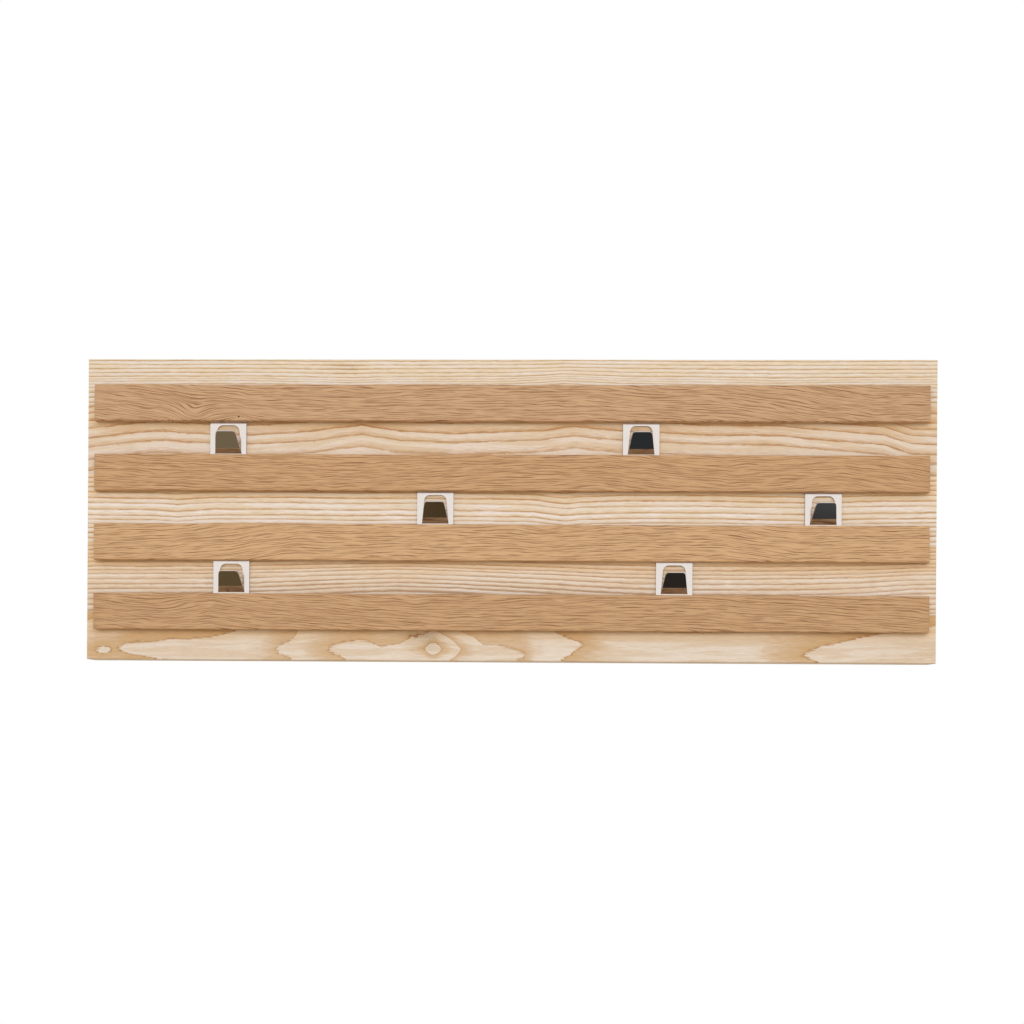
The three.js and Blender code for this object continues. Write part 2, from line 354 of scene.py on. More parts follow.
def floor_finish():
    material, paint = new_material("pale_floor")
    x, y, _ = paint.millimetres()
    distance = paint.sum("SQRT", x * x + y * y) * MM
    rim = paint.step(distance, fade_start, fade_end)
    fade = rim * paint.add("ShaderNodeLightPath", output="Is Camera Ray")
    matt = paint.add("ShaderNodeBsdfDiffuse", {}, {"Color": floor_colour})
    paint.surface(paint.add("ShaderNodeMixShader", {}, {0: fade, 1: matt, 2: paint.glow(WHITE)}))
    return material


floor_mesh = bmesh.new()
bmesh.ops.create_circle(floor_mesh, cap_ends=True, segments=floor_sides, radius=floor_radius)
bmesh.ops.translate(floor_mesh, verts=floor_mesh.verts, vec=(0, 0, floor_height))
floor = new_object("floor", floor_mesh)
floor.data.materials.append(floor_finish())
floor.visible_diffuse = False
floor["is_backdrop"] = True
print("floor in metres below the rack's middle:", -floor_height)

# %% [markdown]
# The bent tongues of the hooks look down and mirror the room's dark floor, which in a studio is a dark card
# held under the object. Here only reflections see the card. Each tongue in the photograph has its own tone,
# so the card's tone changes from left to right. It has two rows of tones: the hooks of the bottom row hang
# closer to the card and mirror its part near the wall, and the others mirror the part further out.

# %% Tones of the dark card
card_height = -0.55
card_half_length = 0.8
card_outer_edge, card_wall_edge = -0.8, -0.05
card_tone_change = (-0.31, -0.26)
olive_tone = srgb(142, 130, 108)
steel_blue_tone = srgb(90, 96, 104)
bottom_olive_tone = srgb(116, 100, 74)
bottom_black_tone = srgb(56, 52, 50)
outer_tones = [
    (-0.80, olive_tone),
    (-0.37, olive_tone),
    (-0.11, srgb(94, 76, 48)),
    (0.15, srgb(54, 62, 68)),
    (0.30, srgb(64, 66, 70)),
    (0.39, steel_blue_tone),
    (0.80, steel_blue_tone),
]
wall_tones = [
    (-0.80, bottom_olive_tone),
    (-0.37, bottom_olive_tone),
    (0.15, bottom_black_tone),
    (0.80, bottom_black_tone),
]


def tone_ramp(paint, share, tones):
    """A tone that changes along the card, from pairs of (place, tone)."""
    ramp = paint.tree.nodes.new("ShaderNodeValToRGB")
    for _ in tones[2:]:
        ramp.color_ramp.elements.new(0.5)
    for stop, (place, tone) in zip(ramp.color_ramp.elements, tones):
        stop.position = (place + card_half_length) / (2 * card_half_length)
        stop.color = tone
    paint.tree.links.new(share.socket, ramp.inputs[0])
    return Wire(paint, ramp.outputs[0])


print("stops of tone further out:", len(outer_tones), " near the wall:", len(wall_tones))

# %% [markdown]
# The card is one flat grid that glows with those tones, so no lamp has to light it. Every kind of ray but
# the reflected one passes it by, and so it darkens nothing else.

# %% Hold the dark card
def card_finish():
    material, paint = new_material("dark_card")
    x, y, _ = paint.millimetres()
    share = (x * MM + card_half_length) / (2 * card_half_length)
    outer = tone_ramp(paint, share, outer_tones)
    by_wall = tone_ramp(paint, share, wall_tones)
    paint.surface(paint.glow(paint.mix(paint.step(y * MM, *card_tone_change), outer, by_wall)))
    return material


card_mesh = bmesh.new()
bmesh.ops.create_grid(card_mesh, x_segments=1, y_segments=1, size=1.0)
card_half_depth = (card_wall_edge - card_outer_edge) / 2
card_middle = (card_wall_edge + card_outer_edge) / 2
bmesh.ops.scale(card_mesh, verts=card_mesh.verts, vec=(card_half_length, card_half_depth, 1))
bmesh.ops.translate(card_mesh, verts=card_mesh.verts, vec=(0, card_middle, card_height))
card = new_object("dark_card", card_mesh)
card.data.materials.append(card_finish())
for ray in ("camera", "diffuse", "transmission", "volume_scatter", "shadow"):
    setattr(card, "visible_" + ray, False)
card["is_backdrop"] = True
print("card in metres:", 2 * card_half_length, "by", 2 * card_half_depth)

# %% [markdown]
# ## A hook, cut and bent from one sheet
# Each hook is a plate with a window. The metal of the window isn't cut away: it stays joined at the window's
# foot and is bent forward as the hook's tongue. The model goes the same way as the press. A flat outline
# with a window inset in it gets the sheet's thickness, and then the wall of metal at the window's foot is
# spun round the fold and drawn out to the narrow tip. A wall that is spun keeps its thickness, as bent metal
# does, which thickening a bent skin afterwards doesn't promise.

# %% Measures of the hook
SHEET = 1.5
plate_width = 30.7
plate_foot, plate_head = -3.3, 31.2
plate_corner, plate_corner_steps = 0.6, 4
window_foot_width, window_head_width = 22.6, 18.0
window_foot, window_head = 1.0, 25.6
window_corner, window_corner_steps = 4.5, 12
first_inset = plate_width / 6
tongue_root_width, tongue_tip_width = 22.0, 16.0
tongue_corner, tongue_corner_steps = 2.2, 6
tongue_tilt = math.radians(37)
fold_radius, fold_steps = 2.0, 8
tongue_blank = 21.8
edge_break, edge_steps = 0.1, 2
tip_break, tip_steps = 0.45, 3
sharp_angle = math.radians(40)
flat_angle = math.radians(1)
close, very_close = 1e-3, 1e-4

tongue_straight = tongue_blank - tongue_tilt * (fold_radius + SHEET / 2)
print("straight run of the tongue in mm:", round(tongue_straight, 2))

# %% [markdown]
# The plate is drawn standing up, with its back at y = 0 and its front towards the reader. Corners are
# rounded with a bevel of the corner points alone, which is how a flat outline gets its radii. The foot of
# the window is divided where two narrow slits set the tongue free, so that the fold can't tear. One sample
# hook is made along the way, so that each cell can measure what it did.

# %% Cut the plate and its window
def round_off(bm, corners, radius, steps, affect="VERTICES"):
    bmesh.ops.bevel(
        bm, geom=corners, offset=radius, offset_type="OFFSET", affect=affect,
        segments=steps, profile=0.5, material=-1, clamp_overlap=True,
    )


def standing_sheet():
    bm = bmesh.new()
    bmesh.ops.create_grid(bm, x_segments=1, y_segments=1, size=0.5)
    bmesh.ops.scale(bm, verts=bm.verts, vec=(plate_width, plate_head - plate_foot, 1))
    bmesh.ops.rotate(bm, verts=bm.verts, matrix=Matrix.Rotation(math.pi / 2, 3, "X"))
    bmesh.ops.translate(bm, verts=bm.verts, vec=(0, 0, (plate_head + plate_foot) / 2))
    return bm


def cut_window(bm):
    """An inset makes the window's four corners, and each one is then moved to its own place."""
    plate_corners = list(bm.verts)
    bmesh.ops.inset_individual(bm, faces=bm.faces[:], thickness=first_inset)
    inner = [corner for corner in bm.verts if corner not in plate_corners]
    middle = (window_foot + window_head) / 2
    for corner in inner:
        at_head = corner.co.z > middle
        width = window_head_width if at_head else window_foot_width
        corner.co.x = math.copysign(width / 2, corner.co.x)
        corner.co.z = window_head if at_head else window_foot
    hole = [face for face in bm.faces if all(corner in inner for corner in face.verts)]
    bmesh.ops.delete(bm, geom=hole, context="FACES_ONLY")
    round_off(bm, [corner for corner in inner if corner.co.z > middle], window_corner, window_corner_steps)
    round_off(bm, plate_corners, plate_corner, plate_corner_steps)
    bmesh.ops.remove_doubles(bm, verts=bm.verts, dist=very_close)
    bmesh.ops.dissolve_limit(bm, angle_limit=flat_angle, verts=bm.verts, edges=bm.edges)


def corners_in(parts):
    return [part for part in parts if isinstance(part, bmesh.types.BMVert)]


def slit_foot(bm):
    """Divides the window's foot where the two slits meet it."""
    foot = next(edge for edge in bm.edges if all(
        abs(corner.co.z - window_foot) < close and abs(corner.co.x) < window_foot_width / 2 + close
        for corner in edge.verts
    ))
    parts = bmesh.ops.subdivide_edges(bm, edges=[foot], cuts=2)
    for corner in corners_in(parts["geom_inner"]):
        corner.co.x = math.copysign(tongue_root_width / 2, corner.co.x)


sample = standing_sheet()
cut_window(sample)
slit_foot(sample)
print("corners of the cut sheet:", len(sample.verts))

# %% [markdown]
# Now the sheet gets its 1.5 mm, towards the front. The piece of the window's lower wall between the slits is
# turned about the fold's centre, which lies in front of the sheet, and one more extrusion draws the straight
# part of the tongue.

# %% Thicken the plate and bend its tongue
def thicken(bm):
    skin = bmesh.ops.extrude_face_region(bm, geom=bm.faces[:])
    bmesh.ops.translate(bm, verts=corners_in(skin["geom"]), vec=(0, -SHEET, 0))
    bmesh.ops.recalc_face_normals(bm, faces=bm.faces)


def tongue_root(bm):
    """The face of the window's lower wall between the two slits."""
    for face in bm.faces:
        middle = face.calc_center_median()
        if abs(middle.z - window_foot) < close and abs(middle.x) < close:
            return face


def bend_tongue(bm):
    root = tongue_root(bm)
    turned = bmesh.ops.spin(
        bm, geom=[root], cent=(0, -fold_radius - SHEET, window_foot), axis=(1, 0, 0),
        angle=tongue_tilt, steps=fold_steps,
    )
    end = [part for part in turned["geom_last"] if isinstance(part, bmesh.types.BMFace)]
    drawn = bmesh.ops.extrude_face_region(bm, geom=end)
    bmesh.ops.delete(bm, geom=[root, *end], context="FACES_ONLY")
    tip = corners_in(drawn["geom"])
    way = Vector((0, -math.sin(tongue_tilt), math.cos(tongue_tilt))) * tongue_straight
    bmesh.ops.translate(bm, verts=tip, vec=way)
    bmesh.ops.scale(bm, verts=tip, vec=(tongue_tip_width / tongue_root_width, 1, 1))
    sides = {
        edge for corner in tip for edge in corner.link_edges
        if edge.other_vert(corner) in tip and abs(edge.other_vert(corner).co.x - corner.co.x) < close
    }
    round_off(bm, list(sides), tongue_corner, tongue_corner_steps, affect="EDGES")


thicken(sample)
bend_tongue(sample)
print("tongue forward in mm:", round(-min(corner.co.y for corner in sample.verts), 2))

# %% [markdown]
# Every sharp edge gets a hair of a break, and the tip of the tongue, where a collar hangs, is rounded more.
# The fine line of light along such edges is what tells the eye that this is metal. Where two bevels meet,
# needle-thin faces can be left over, and the last step dissolves them. The faces are marked as well. The
# first
# mark says how far a face looks down: such faces get a lower roughness and a colour painted darker as shade.
# The second is 1 on the cut edges of the sheet, which get a painted shade. A cut edge is a face that looks
# sideways or down, so its normal reaches less than edge_reach to the front, the back and the top.

# %% Break the edges and try the hook
in_front = -2 * SHEET
edge_reach = 0.4


def sharp_edges(bm):
    return [edge for edge in bm.edges if edge.calc_face_angle() > sharp_angle]


def break_edges(bm):
    tongue_top = max(corner.co.z for corner in bm.verts if corner.co.y < in_front)
    tip_foot = tongue_top - 2 * tongue_corner
    at_tip = [
        edge for edge in sharp_edges(bm)
        if all(corner.co.y < in_front and corner.co.z > tip_foot for corner in edge.verts)
    ]
    round_off(bm, at_tip, tip_break, tip_steps, affect="EDGES")
    round_off(bm, sharp_edges(bm), edge_break, edge_steps, affect="EDGES")
    bmesh.ops.dissolve_degenerate(bm, dist=close, edges=bm.edges)


def mark_faces(bm):
    """Writes on every face how far it looks down, for polish and painted shade, and whether it is a shaded
    cut edge.
    """
    polish = bm.faces.layers.float.new("polish")
    raw_edge = bm.faces.layers.float.new("raw_edge")
    for face in bm.faces:
        # How far a face looks down: it sets a lower roughness and a painted shade.
        face[polish] = min(max(-face.normal.z / math.sin(tongue_tilt), 0.0), 1.0)
        # Cut edges that look sideways or down: they get a painted shade.
        face[raw_edge] = float(abs(face.normal.y) < edge_reach and face.normal.z < edge_reach)


def hook_mesh():
    bm = standing_sheet()
    cut_window(bm)
    slit_foot(bm)
    thicken(bm)
    bend_tongue(bm)
    break_edges(bm)
    mark_faces(bm)
    return bm


break_edges(sample)
mark_faces(sample)
lows = [min(corner.co[axis] for corner in sample.verts) for axis in range(3)]
highs = [max(corner.co[axis] for corner in sample.verts) for axis in range(3)]
print("hook from", [round(low, 2) for low in lows], "to", [round(high, 2) for high in highs])
print("faces:", len(sample.faces), " open edges:", sum(not edge.is_manifold for edge in sample.edges))
sample.free()

# %% [markdown]
# ## Brushed steel
# The plates are steel, brushed up and down to a pale satin that throws the white room back a shade warmer
# than it is. Faces that look down, most of all the underside of each tongue, are smoother and mirror more
# clearly, and their colour is painted darker as shade, for the shaded wood that the tongue mirrors near its
# fold. The cut edges of the sheet that look sideways or down are painted dark brown as shade, for the thin
# shadow lines along them, except the end of the tip, which is ground round to be kind to a coat and looks
# up.
# One colour for the whole hook would lose all that, so the shader reads the two marks on the mesh. Fine
# upright scratches run through all of it, with a faint relief.

# %% Steel
satin_steel = (0.80, 0.735, 0.685, 1.0)
# Colour painted as shade on faces that look down, such as the tongue's underside.
painted_shade_steel = (0.56, 0.50, 0.44, 1.0)
# Colour of the painted shade on cut edges that look sideways or down.
painted_edge_shade_colour = (0.30, 0.20, 0.125, 1.0)
scratch_size = (0.35, 0.35, 9.0)
cloud_size = (9.0, 9.0, 14.0)
scratch_relief = {"strength": 0.06, "depth": 0.1}
steel_shade = {"always": 0.95, "scratches": 0.06, "clouds": 0.04}
steel_roughness = {"always": 0.12, "polish": -0.05, "scratches": 0.06}


def mesh_mark(paint, name):
    """A value that the mesh carries on its faces."""
    return paint.add("ShaderNodeAttribute", {"attribute_name": name}, output=2)


def steel_finish():
    material, paint = new_material("brushed_steel")
    place = paint.millimetres()
    marks = {
        "scratches": paint.noise(place, scratch_size, detail=3.0),
        "clouds": paint.noise(place, cloud_size),
        "polish": mesh_mark(paint, "polish"),
    }
    # Painted shade: faces that look down, most of all the tongue's underside, get the darker colour.
    colour = paint.mix(marks["polish"], satin_steel, painted_shade_steel)
    # Painted shade: cut edges that look sideways or down get the dark brown, as thin shadow lines along
    # them.
    colour = paint.mix(mesh_mark(paint, "raw_edge"), colour, painted_edge_shade_colour)
    paint.principled({
        "Base Color": paint.tint(colour, weighted(marks, steel_shade)),
        "Metallic": 1.0,
        "Roughness": weighted(marks, steel_roughness),
        "Normal": paint.bump(marks["scratches"], **scratch_relief),
    })
    return material


steel = steel_finish()
print("steel marks in mm:", scratch_size, cloud_size)

# %% [markdown]
# The screws and the two hangers on the back are steel with a zinc plating. Zinc dulls to an uneven grey with
# fine spangles, so its colour and its roughness share one fine noise, and a coarse one stains it.

# %% Zinc
zinc_grey = (0.50, 0.51, 0.51, 1.0)
spangle_size = (2.5, 2.5, 2.5)
stain_size = (12.0, 12.0, 12.0)
zinc_shade = {"always": 0.8, "spangle": 0.22, "stain": 0.14}
zinc_roughness = {"always": 0.34, "spangle": 0.16}


def zinc_finish():
    material, paint = new_material("zinc_plate")
    place = paint.millimetres()
    marks = {
        "spangle": paint.noise(place, spangle_size, detail=3.0),
        "stain": paint.noise(place, stain_size),
    }
    paint.principled({
        "Base Color": paint.tint(zinc_grey, weighted(marks, zinc_shade)),
        "Metallic": 1.0,
        "Roughness": weighted(marks, zinc_roughness),
    })
    return material


zinc = zinc_finish()
print("zinc marks in mm:", spangle_size, stain_size)

# %% [markdown]
# ## Place the six hooks
# The hooks are the same part six times. Each one goes where the frame has it: the frame's box of a node
# gives the middle of the plate, the back of the plate and the height of its foot. The place goes into the
# mesh and the object stays at the origin, so its own coordinates, which the pattern reads, are the rack's.

# %% Make and place the hooks
hook_names = [f"hook_{row}_{side}" for row in ("top", "middle", "bottom") for side in ("left", "right")]
for name in hook_names:
    low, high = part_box(name)
    bm = hook_mesh()
    bmesh.ops.scale(bm, verts=bm.verts, vec=(MM, MM, MM))
    place = Vector(((low.x + high.x) / 2, high.y, low.z - plate_foot * MM))
    bmesh.ops.translate(bm, verts=bm.verts, vec=place)
    hook = new_object(name + "_dressed", bm)
    hook.data.materials.append(steel)
    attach(hook, name + "_body")
    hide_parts(name)
print("hooks placed:", len(hook_names))

# %% [markdown]
# ## Ash, ring by ring
# A ring of ash is a dark line of wide pores, laid down in spring, and then pale dense wood until the next
# line. On a board the lines run along the grain and drift up and down in slow waves. So each stave gets two
# curves: one turns a height into a ring number, with a whole number at every dark line, and the other is the
# wave that all its lines follow. In two staves the wave grows downwards: growth is by how much for each
# millimetre, and at steady_height the wave is as drawn. What is left of the ring number after the whole part
# says where in its ring a point lies. The rings also slope into the board, so its ends, edges and back show
# the same tree. Plain stripes would be simpler, but all the lines would then be alike.

# %% The grain of each straight stave
straight_staves = {
    "stave_top": {
        "lines": [
            129.3, 126.0, 122.8, 119.5, 116.2, 112.9, 110.9, 109.0, 106.5, 103.8, 99.8, 95.5, 91.5, 87.5,
        ],
        "wave": [
            (-360, -0.3), (-230, 0.2), (-160, -0.4), (-135, -0.9), (-110, -0.3), (0, 0.1), (26, 0.9),
            (46, 1.9), (64, 1.3), (95, 0.4), (150, 0), (220, -0.7), (290, -0.2), (360, 0),
        ],
        "steady_height": 118.0,
        "growth": 0.07,
        "dark_place": (-140, 121, 14, 4, 0.8),
    },
    "stave_upper": {
        "lines": [87.0, 81.8, 75.8, 69.0, 60.6, 52.8, 42.5, 33.2],
        "wave": [
            (-360, -0.8), (-315, 4.5), (-295, 5.5), (-277, 4.0), (-256, 3.1), (-220, 2.3), (-187, 3.9),
            (-163, 6.0), (-149, 8.4), (-126, 10.9), (-107, 7.9), (-93, 5.6), (-71, 4.8), (-48, 3.9),
            (8, 5.8), (26, 6.4), (44, 8.8), (56, 10.0), (70, 8.3), (91, 6.5), (133, 4.6), (162, 3.1),
            (230, 2.4), (253, -0.2), (288, -2.9), (315, -4.9), (330, -9.6), (339, -12.5), (360, -13),
        ],
    },
    "stave_middle": {
        "lines": [
            30.5, 26.4, 22.5, 18.6, 14.4, 9.6, 5.4, -0.4, -5.2, -8.7, -12.4, -16.2, -20.2, -24.8, -29.0,
        ],
        "wave": [
            (-360, -0.2), (-300, -0.9), (-283, -2.0), (-250, 0), (-180, 0.2), (-140, -0.6), (-100, -0.2),
            (-20, -0.6), (20, -1.2), (47, -4.5), (60, -3.2), (100, -2.0), (180, -2.0), (220, -2.8),
            (260, -3.2), (300, -1.8), (360, -1.0),
        ],
    },
    "stave_lower": {
        "lines": [
            -28.2, -31.5, -35.0, -38.2, -41.5, -45.2, -48.7, -51.9, -54.9, -59.2, -63.6, -67.5, -71.2,
            -76.0, -81.0, -85.4, -89.0,
        ],
        "wave": [
            (-360, -0.5), (-235, 0), (-180, 1.2), (-140, 2.2), (-96, 3.2), (-40, 2.2), (20, 0.5),
            (60, -0.6), (100, -1.5), (140, -2.0), (220, -1.8), (260, -1.5), (300, -0.8), (340, 0.8),
            (360, 1.0),
        ],
        "steady_height": -45.0,
        "growth": 0.045,
        "dark_place": (-40, -73, 230, 13, 1.2),
    },
}
for name, grain in straight_staves.items():
    print(name, "rings:", len(grain["lines"]))

# %% [markdown]
# A dark place, where the lines widen and deepen, is a smooth hill: 0 far away, and highest in its middle.
# The hill is written as its middle, its half widths and its height. Slow drift and a finer ripple keep the
# lines from being copies of each other, as no line in real wood is.

# %% Rings from curves
front_of_board = -24.0
depth_slope = 0.4
spare_height = 16.0
drift_size, drift_reach = (60.0, 8.0, 6.0), 0.7
ripple_size, ripple_reach = (9.0, 8.0, 3.0), 0.25


def ring_curve(lines):
    """Pairs of (height, ring number) from the lowest line up, run on by the mean spacing past both ends."""
    lines = sorted(lines)
    spacing = (lines[-1] - lines[0]) / (len(lines) - 1)
    extra = math.ceil(spare_height / spacing)
    below = [lines[0] - spacing * step for step in range(extra, 0, -1)]
    above = [lines[-1] + spacing * step for step in range(1, extra + 1)]
    return [(height, number) for number, height in enumerate(below + lines + above)]


def hill(paint, x, z, place):
    """A smooth hill: its middle in x and z, its half widths and its height."""
    middle_x, middle_z, half_width, half_height, rise = place
    across = (x - middle_x) / half_width
    up = (z - middle_z) / half_height
    return paint.sum("EXPONENT", (across * across + up * up) * -1.0) * rise


def straight_rings(grain):
    """Rings for one stave: the ring number, the height along the lines, and how dark the place is."""
    def rings_of(paint, x, y, z):
        depth = y - front_of_board
        drift = paint.drift((x, depth, z), drift_size, drift_reach)
        ripple = paint.drift((x, depth, z), ripple_size, ripple_reach, detail=1.0)
        wave = paint.curve(x, grain["wave"])
        if "growth" in grain:
            wave = wave * ((grain["steady_height"] - z) * grain["growth"] + 1.0)
        height = z - wave + depth * depth_slope + drift + ripple
        darkness = hill(paint, x, z, grain["dark_place"]) if "dark_place" in grain else 0.0
        return paint.curve(height, ring_curve(grain["lines"])), height, darkness

    return rings_of


print("rings run on past the lines in mm:", spare_height)

# %% [markdown]
# The bottom stave was sawn flat, across the side of the tree, so its rings don't run straight. They bend
# into cathedral arches, and close round one small knot and an eye at the left. Here the ring number is the
# height of a landscape with one long valley. One curve is the height along the valley's floor, a second
# says where on the board that floor lies, and the number grows with the distance from it, faster beside the
# knot, where the rings crowd together. The wood above the knot is dark and gnarled, with a darker crest
# across it. Circles and arcs could be drawn one by one, but a landscape bends all of them together, as a
# tree does.

# %% The grain of the cathedral stave
valley_height = [
    (-360, 3.12), (-355, 3.06), (-352, 3.0), (-346, 2.96), (-340, 3.0), (-337, 3.05), (-334, 3.04),
    (-331, 3.0), (-326, 2.93), (-300, 2.86), (-262, 2.76), (-235, 2.62), (-210, 2.35), (-198, 2.0),
    (-184, 1.85), (-172, 1.4), (-153, 1.0), (-140, 0.88), (-128, 0.8), (-108, 0.84), (-93, 0.66),
    (-78, 0.3), (-71, 0.0), (-69, -0.12), (-67, -0.25), (-64, -0.3), (-61, -0.25), (-59, -0.12),
    (-57, 0.0), (-51, 0.3), (-41, 1.0), (-35, 1.25), (-21, 1.86), (0, 1.9), (14, 2.0), (22, 2.4),
    (45, 2.8), (61, 3.0), (74, 3.2), (88, 3.6), (150, 3.66), (205, 3.6), (222, 3.25), (236, 3.12),
    (251, 3.0), (267, 2.85), (305, 2.58), (360, 2.35),
]
valley_middle = [
    (-360, -120.0), (-338, -119.8), (-328, -118.2), (-316, -118.8), (-297, -119.8), (-291, -118.8),
    (-274, -121.1), (-259, -121.9), (-226, -121.6), (-205, -118.6), (-145, -118.4), (-136, -120.2),
    (-121, -120.4), (-108, -123.4), (-91, -122.4), (-77, -118.0), (-62, -117.5), (-40, -118.4),
    (-22, -121.0), (0, -123.0), (14, -122.4), (28, -119.0), (61, -113.6), (100, -118.0),
    (251, -120.8), (275, -122.4), (300, -123.4), (360, -123.4),
]
flank_slope = [
    (-360, 0.035), (-338, 0.035), (-326, 0.028), (-250, 0.0236), (-128, 0.024), (-108, 0.03),
    (-83, 0.06), (-74, 0.09), (-54, 0.09), (-35, 0.06), (-16, 0.0236), (360, 0.0236),
]
flank_steepness = 1.12
valley_round = 3.0
depth_fall = 0.10
first_ring = 10.0
fibre_follow = 2.0
swell_size, swell_reach = (40.0, 8.0, 7.0), 0.04
gnarl_size, gnarl_reach = (5.0, 8.0, 4.0), 0.125
dark_knot_wood = (-68, -109, 13, 8, 1.8)
dark_crest = (-78, -106.6, 14, 2.4, 3.0)


def cathedral_rings(paint, x, y, z):
    depth = y - front_of_board
    darkness = hill(paint, x, z, dark_knot_wood) + hill(paint, x, z, dark_crest)
    swell = paint.drift((x, depth, z), swell_size, swell_reach)
    gnarl = paint.drift((x, depth, z), gnarl_size, gnarl_reach) * darkness
    off_valley = z - paint.curve(x, valley_middle)
    distance = paint.sum("SQRT", off_valley * off_valley + valley_round ** 2) - valley_round
    climb = distance * paint.curve(x, flank_slope) * flank_steepness
    rings = paint.curve(x, valley_height) + climb - depth * depth_fall + swell + gnarl + first_ring
    return rings, z + rings * fibre_follow, darkness


floor_heights = [height for _, height in valley_height]
print("ring numbers along the valley: from", min(floor_heights), "to", max(floor_heights))

# %% [markdown]
# ## The finish of the ash
# The colours are the same for every stave, only a little paler or redder from plank to plank. Three tones
# are laid over each other: late wood, which drifts between pale and cream, the tan that fades out of each
# line, and the line. The tan ends in frayed fibres and not at a clean edge. Then come the marks of the
# fibres, which are fine, long and faint, short flecks, and open pores along the dark lines. A painted warm
# shade is seen through the colours: the upper side of each visible strip, just under a slat, is painted
# more golden than its lower side.

# %% Marks and looks of the ash
fibre_size = (10.0, 0.8, 0.7)
patch_size = (22.0, 10.0, 2.5)
fleck_size = (3.0, 1.5, 0.5)
pore_size = (4.0, 0.4, 0.35)
warmth_size = (60.0, 20.0, 4.0)
pore_edge = (0.55, 0.7)
warmth_edge = (0.4, 0.6)
fray = 0.45
line_core = 0.35
dark_gain = 0.5
line_weights = {"always": 0.0, "chance": 0.35, "patches": 1.1}
fade_weights = {"always": 0.25, "chance": 0.3, "patches": 0.5, "fibres": 0.4}
ash_shade = {"always": 0.75, "fibres": 0.34, "flecks": 0.16, "pores": -0.1, "darkness": -0.08}
ash_roughness = {"always": 0.5, "fibres": 0.12}
ash_height = {"always": 0.0, "fibres": 0.5, "pores": -1.0}
ash_relief = {"strength": 0.12, "depth": 0.15}
# Painted warm shade under each slat: its golden colour, and how far below the slat it fades out, in mm.
painted_warm_shade = (0.99, 0.90, 0.74, 1.0)
painted_warm_shade_depth = 13.0
# In each look, the last number is the top of the painted warm shade: the underside of the slat above, or
# above the board where no slat is.
stave_looks = {
    "stave_top": {
        "tones": (srgb(239, 228, 216), srgb(236, 219, 195), srgb(222, 195, 158), srgb(198, 160, 112)),
        "line_share": 0.36, "fade_share": 0.85, "feather": 0.4, "painted_warm_shade_top": 140.0,
    },
    "stave_upper": {
        "tones": (srgb(234, 217, 199), srgb(227, 203, 173), srgb(212, 173, 130), srgb(190, 145, 100)),
        "line_share": 0.22, "fade_share": 0.6, "feather": 0.4, "painted_warm_shade_top": 74.0,
    },
    "stave_middle": {
        "tones": (srgb(243, 233, 224), srgb(237, 221, 199), srgb(226, 196, 156), srgb(196, 152, 102)),
        "line_share": 0.32, "fade_share": 0.8, "feather": 0.4, "painted_warm_shade_top": 15.0,
    },
    "stave_lower": {
        "tones": (srgb(241, 227, 211), srgb(236, 214, 187), srgb(216, 183, 146), srgb(194, 157, 122)),
        "line_share": 0.3, "fade_share": 0.9, "feather": 0.4, "painted_warm_shade_top": -44.0,
    },
    "stave_bottom": {
        "tones": (srgb(236, 221, 204), srgb(227, 206, 180), srgb(210, 173, 126), srgb(184, 138, 90)),
        "line_share": 0.04, "fade_share": 0.7, "feather": 0.17, "painted_warm_shade_top": -102.5,
    },
}
print("staves:", len(stave_looks))

# %% [markdown]
# The shader reads the ring number from the grain and takes it apart. The whole part gives each ring its own
# strength, by chance. The rest is 0 at the line and runs up to 1 at the next one, so a soft step near 0 is
# the line, and a longer one is the tan that fades out of it.

# %% Ash
def ash_finish(name, rings_of):
    look = stave_looks[name]
    pale, cream, tan, line = look["tones"]
    material, paint = new_material("ash_" + name)
    x, y, z = paint.millimetres()
    rings, along, darkness = rings_of(paint, x, y, z)
    place = (x, y, along)
    fibres = paint.noise(place, fibre_size, detail=3.0)
    rings = rings + (fibres - 0.5) * look["feather"]
    number = paint.sum("FLOOR", rings)
    inside = rings - number
    marks = {
        "fibres": fibres,
        "chance": paint.chance(number),
        "patches": paint.noise(place, patch_size),
        "flecks": paint.noise(place, fleck_size),
        "darkness": darkness,
    }
    width = (1.0 + darkness) * look["line_share"]
    strength = weighted(marks, line_weights) * (1.0 + darkness * dark_gain)
    line_amount = paint.step(inside, width, width * line_core) * strength
    frayed = inside + (fibres - 0.5) * fray
    fade_amount = paint.step(frayed, look["fade_share"], 0.0) * weighted(marks, fade_weights)
    marks["pores"] = paint.step(paint.noise(place, pore_size, detail=1.0), *pore_edge) * line_amount
    colour = paint.mix(paint.step(paint.noise(place, warmth_size), *warmth_edge), pale, cream)
    colour = paint.mix(fade_amount, colour, tan)
    colour = paint.mix(line_amount, colour, line)
    # Painted warm shade: a golden tint that fades in over the last 13 mm below the slat above.
    painted_warm_shade_share = paint.step(z, look["painted_warm_shade_top"] - painted_warm_shade_depth, look["painted_warm_shade_top"])
    colour = paint.multiply(colour, paint.mix(painted_warm_shade_share, WHITE, painted_warm_shade))
    paint.principled({
        "Base Color": paint.tint(colour, weighted(marks, ash_shade)),
        "Roughness": weighted(marks, ash_roughness),
        "Normal": paint.bump(weighted(marks, ash_height), **ash_relief),
    })
    return material


stave_finishes = {name: ash_finish(name, straight_rings(grain)) for name, grain in straight_staves.items()}
stave_finishes["stave_bottom"] = ash_finish("stave_bottom", cathedral_rings)
print("stave finishes:", len(stave_finishes))

# %% [markdown]
# ## Oak
# The slats are oak, sawn so that its pores show as short dark dashes. What makes dashes look like wood is
# their flow: each slat has one curve that bends the whole pattern, so neighbouring dashes lean the same way.

